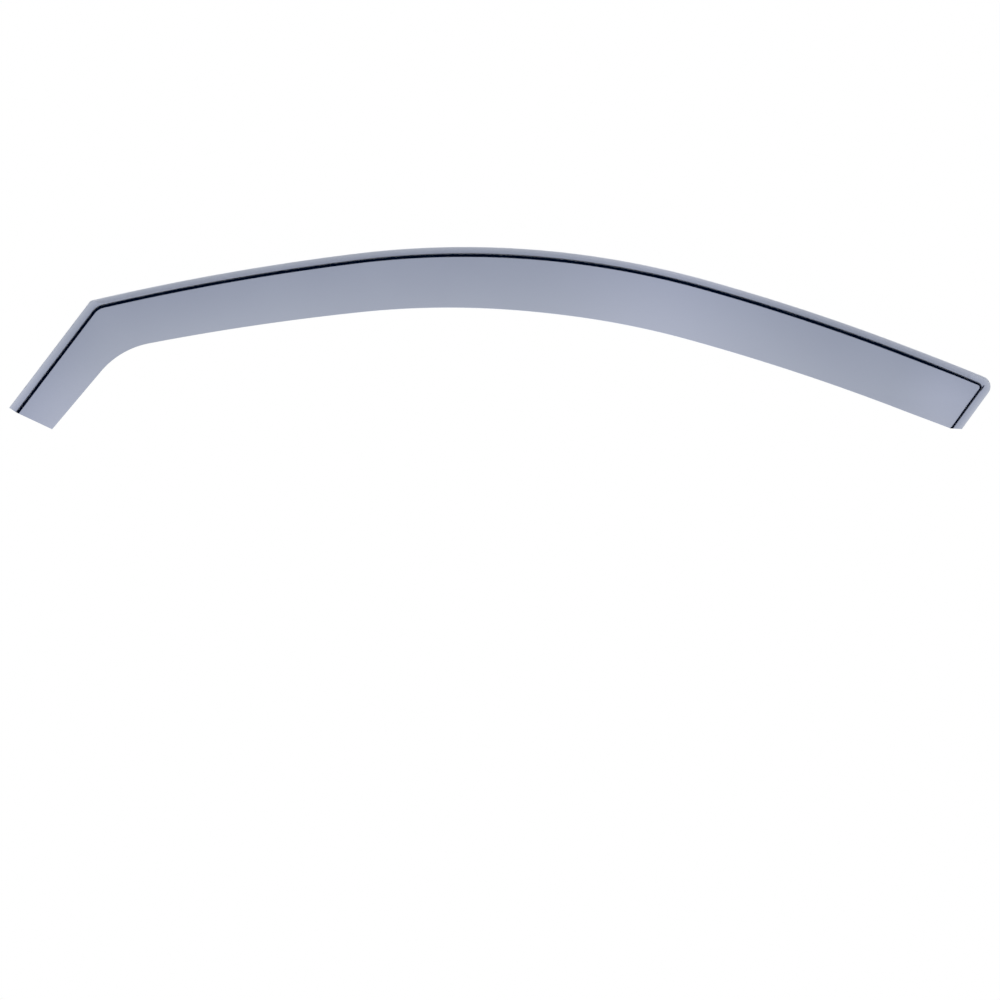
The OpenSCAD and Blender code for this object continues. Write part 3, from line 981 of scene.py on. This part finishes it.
@dataclass
class Deflector:
    """The one moulded sheet: its rails, its skin and its finish."""

    section: SheetSection = SheetSection()
    # The sheet's finish carries three spots of painted sheen, and painted shade where the shoulder is
    # seen edge-on.
    finish: SmokedAcrylic = SmokedAcrylic(sheen_spots=(
        PaintedSheen(-412.0, -160.0, 110.0), PaintedSheen(196.0, -45.0, 150.0),
        PaintedSheen(466.0, -136.0, 62.0)))
    # Painted shade: a near-black, opaque copy of the acrylic for the shoulder seen edge-on.
    painted_shoulder_shade: SmokedAcrylic = SmokedAcrylic(
        name="shoulder_painted_shade_acrylic", clear=(0.0, 0.001, 0.006, 1.0),
        shade=(0.001, 0.002, 0.008, 1.0), edge_on=(0.0, 0.0015, 0.008, 1.0), polish=(0.1, 0.2),
        see_through=0.0, gloss=0.0)
    glass_plan_r: float = 6000.0
    glass_side_r: float = 1500.0
    glass_level: float = 80.0
    sharp_from: float = 40.0

    def rails(self) -> bpy.types.Object:
        """Makes the rails as loose points, rail after rail, with their finish marks, painted edge shade
        among them.

        Returns:
            The object of loose rail points.
        """
        rings = [self.section.ring(st) for st in self.section.outline.stations()]
        points = [p for rail in zip(*rings) for p in rail]
        mesh = bpy.data.meshes.new("deflector_rails")
        mesh.from_pydata([(p.plan[0] * MM, -p.lift * MM, p.plan[1] * MM) for p in points], [], [])
        for finish in Finish:
            marks = mesh.attributes.new(finish.value, "FLOAT", "POINT")
            marks.data.foreach_set("value", [getattr(p, finish.value) for p in points])
        rails = add_object("deflector_rails", mesh)
        rails["stations"], rails["rails"] = len(rings), len(rings[0])
        return rails

    def skin(self, rails: bpy.types.Object) -> bpy.types.Mesh:
        """Skins the rails, moulds the sheet and dresses it.

        Args:
            rails: The object of loose rail points.

        Returns:
            A plain mesh of the sheet, open at its two cut ends.
        """
        tree = SheetSkin().tree()
        modifier = rails.modifiers.new("skin", "NODES")
        modifier.node_group = tree
        sizes = {
            "Stations": int(rails["stations"]),
            "Rails in ring": int(rails["rails"]),
            "Glass plan radius": self.glass_plan_r * MM,
            "Glass side radius": self.glass_side_r * MM,
            "Glass level": self.glass_level * MM,
            "Finish": self.finish.build(),
            "Painted shoulder shade": self.painted_shoulder_shade.build(),
        }
        for item in tree.interface.items_tree:
            if item.name in sizes and item.in_out == "INPUT":
                modifier[item.identifier] = sizes[item.name]
        evaluated = rails.evaluated_get(bpy.context.evaluated_depsgraph_get())
        mesh = bpy.data.meshes.new_from_object(evaluated)
        rails.modifiers.remove(modifier)
        bpy.data.objects.remove(rails)
        return mesh

    def close_ends(self, mesh: bpy.types.Mesh) -> None:
        """Caps the cut ends, turns every face outwards and marks the sharp edges.

        Args:
            mesh: The sheet, open at its two cut ends.
        """
        form = bmesh.new()
        form.from_mesh(mesh)
        ends = [edge for edge in form.edges if edge.is_boundary]
        caps = bmesh.ops.edgeloop_fill(form, edges=ends)["faces"]
        for cap in caps:
            cap.smooth = False
        bmesh.ops.recalc_face_normals(form, faces=form.faces)
        bmesh.ops.triangulate(form, faces=caps)
        for edge in form.edges:
            edge.smooth = edge.calc_face_angle(0.0) < math.radians(self.sharp_from)
        form.to_mesh(mesh)
        form.free()

    def build(self) -> tuple[bpy.types.Object, bpy.types.Object]:
        """Builds the sheet in place of the CAD node, and its crease, on the root body.

        Returns:
            The sheet and the crease.
        """
        mesh = self.skin(self.rails())
        self.close_ends(mesh)
        crease = CornerCrease(self).build()
        piece = add_object("deflector_sheet", mesh)
        for part in (piece, crease):
            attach(part, "root")
        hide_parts("deflector")
        return piece, crease

    def outward_fall(self, x: float, z: float) -> float:
        """Gives how far out the moulded glass line lies at a plan point, in millimetres."""
        side = (self.glass_level**2 - (z + self.glass_level) ** 2) / (2 * self.glass_side_r)
        return side - x**2 / (2 * self.glass_plan_r)


@dataclass(frozen=True)
class CornerCrease:
    """The short raised crease that runs on past the rear corner of the shoulder, near-black as painted
    shade.
    """

    sheet: Deflector
    # Painted shade: an opaque, dark copy of the acrylic for the crease seen edge-on.
    finish: SmokedAcrylic = SmokedAcrylic(
        name="crease_painted_shade_acrylic", clear=(0.02, 0.024, 0.05, 1.0),
        shade=(0.03, 0.034, 0.06, 1.0), polish=(0.2, 0.3), see_through=0.0, gloss=0.1)
    length: float = 7.2
    width: float = 1.5
    height: float = 0.12
    root: float = 0.4
    set_back: float = 1.4
    offset: float = 0.35
    taper: float = 0.6
    rings: int = 14
    sides: int = 12

    def ring(self, i: int) -> list[Point]:
        """Draws a ring of the bead, slightly above the flange's face and rooted below it.

        Args:
            i: Number of the ring.

        Returns:
            Its points, in metres.
        """
        turn = math.pi * i / self.rings
        outline = self.sheet.section.outline
        line, across = along(outline.return_heading), leftward(outline.return_heading)
        start = outline.return_top + line * self.set_back + across * self.offset
        centre = start - line * self.length * (1 - math.cos(turn)) / 2
        size = math.sin(turn) ** self.taper
        points = []
        for j in range(self.sides):
            angle = 2 * math.pi * j / self.sides
            plan = centre + across * self.width / 2 * size * math.cos(angle)
            rise = self.height * math.sin(angle) if angle < math.pi else self.root
            lift = self.sheet.section.sheet_t + rise * size * math.sin(angle)
            lift += self.sheet.outward_fall(*plan)
            points.append((plan[0] * MM, -lift * MM, plan[1] * MM))
        return points

    def build(self) -> bpy.types.Object:
        """Builds the crease as a slim bead that is half sunk in the flange, in its painted shade
        material.

        Returns:
            The bead, not yet given to a body.
        """
        form = bmesh.new()
        rings = [[form.verts.new(point) for point in self.ring(i)] for i in range(1, self.rings)]
        for a, b in zip(rings, rings[1:]):
            for j in range(self.sides):
                k = (j + 1) % self.sides
                form.faces.new((a[j], a[k], b[k], b[j]))
        form.faces.new(rings[0])
        form.faces.new(list(reversed(rings[-1])))
        bmesh.ops.recalc_face_normals(form, faces=form.faces)
        for face in form.faces:
            face.smooth = True
        mesh = bpy.data.meshes.new("corner_crease")
        form.to_mesh(mesh)
        form.free()
        mesh.materials.append(self.finish.build())
        return add_object("corner_crease", mesh)


@dataclass(frozen=True)
class SoftLamp:
    """A soft square lamp, in metres and watts."""

    name: str
    place: Point
    size: float
    watts: float

    def build(self, aim: Point) -> None:
        """Adds the lamp.

        Args:
            aim: What it points at, in metres.
        """
        data = bpy.data.lights.new(self.name, "AREA")
        data.shape, data.size, data.energy = "SQUARE", self.size, self.watts
        lamp = add_object(self.name, data)
        lamp.location = self.place
        lamp.rotation_euler = (Vector(aim) - Vector(self.place)).to_track_quat("-Z", "Y").to_euler()


@dataclass(frozen=True)
class Studio:
    """Pale floor, soft lamps, a white surround and the camera of the photograph."""

    floor_level: float = -900.0
    floor_size: float = 20.0
    floor_tone: float = 0.94
    floor_mottle: float = 0.985
    floor_scales: tuple[float, float] = (1.5, 90.0)
    floor_roughness: float = 0.9
    floor_gloss: float = 0.1
    diffuse_light: float = 0.93
    pixel: float = 0.96
    picture: float = 1000.0
    crown_pixel: tuple[float, float] = (464.36, 253.61)
    lens: float = 1000.0
    focus_plane: float = -8.0
    clip_share: float = 4.0
    aim: Point = (0.0, 0.0, -0.1)
    lamps: tuple[SoftLamp, ...] = (
        SoftLamp("key", (-1.6, -2.4, 2.2), 1.6, 16.0),
        SoftLamp("fill", (2.2, -1.6, 1.0), 1.8, 7.0),
        SoftLamp("back", (0.4, 2.4, 1.8), 1.6, 9.0))

    def floor_finish(self) -> bpy.types.Material:
        """Makes the floor's own plain material.

        Returns:
            The material.
        """
        material = bpy.data.materials.new("pale_floor")
        material.use_nodes = True
        nodes = NodeTree(material.node_tree)
        high, low = self.floor_tone, self.floor_tone * self.floor_mottle
        mottling = Mottling().place(nodes, *self.floor_scales)
        colour = nodes.blend(mottling.outputs["Value"], (high, high, high, 1.0), (low, low, low, 1.0))
        surface = nodes.add("ShaderNodeBsdfPrincipled", {
            "Base Color": colour, "Roughness": self.floor_roughness,
            "Specular IOR Level": self.floor_gloss})
        nodes.add("ShaderNodeOutputMaterial", {"Surface": surface.outputs[0]})
        return material

    def floor(self) -> None:
        """Lays the floor well below the sheet."""
        mesh = bpy.data.meshes.new("floor")
        half, level = self.floor_size / 2, self.floor_level * MM
        mesh.from_pydata([(-half, -half, level), (half, -half, level), (half, half, level),
                          (-half, half, level)], [], [(0, 1, 2, 3)])
        mesh.materials.append(self.floor_finish())
        floor = add_object("floor", mesh)

    def world(self) -> None:
        """Gives a surround that is white where it is seen, and softer as light."""
        world = bpy.data.worlds.new("studio")
        world.use_nodes = True
        bpy.context.scene.world = world
        nodes = NodeTree(world.node_tree)
        path = nodes.add("ShaderNodeLightPath").outputs
        seen = nodes.math("MAXIMUM", path["Is Camera Ray"], path["Is Transmission Ray"])
        seen = nodes.math("MAXIMUM", seen, path["Is Glossy Ray"])
        back = nodes.add("ShaderNodeBackground", {
            "Color": WHITE, "Strength": nodes.blend(seen, self.diffuse_light, 1.0, "FLOAT")})
        nodes.add("ShaderNodeOutputWorld", {"Surface": back.outputs[0]})

    def camera(self) -> None:
        """Sets the camera square to the sheet, at the photograph's framing."""
        data = bpy.data.cameras.new("camera")
        data.lens = self.lens
        width = self.pixel * self.picture * MM
        distance = width * self.lens / data.sensor_width
        data.clip_end = self.clip_share * distance
        centre = (self.picture - 1) / 2
        x = (centre - self.crown_pixel[0]) * self.pixel * MM
        z = (self.crown_pixel[1] - centre) * self.pixel * MM
        camera = add_object("camera", data)
        camera.location = (x, self.focus_plane * MM - distance, z)
        camera.rotation_euler = (math.pi / 2, 0.0, 0.0)
        bpy.context.scene.camera = camera

    def build(self) -> None:
        """Sets the whole studio."""
        bpy.context.scene.view_settings.view_transform = "Standard"
        self.camera()
        self.world()
        for lamp in self.lamps:
            lamp.build(self.aim)
        self.floor()


def main() -> None:
    """Builds the sheet and the studio, and logs the triangles of each piece."""
    logging.basicConfig(level=logging.INFO, format="%(name)s: %(message)s")
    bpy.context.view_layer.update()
    Studio().build()
    pieces = Deflector().build()
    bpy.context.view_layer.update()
    for piece in pieces:
        LOG.info("%s: %d triangles", piece.name, sum(len(f.vertices) - 2 for f in piece.data.polygons))


if __name__ == "__main__":
    main()
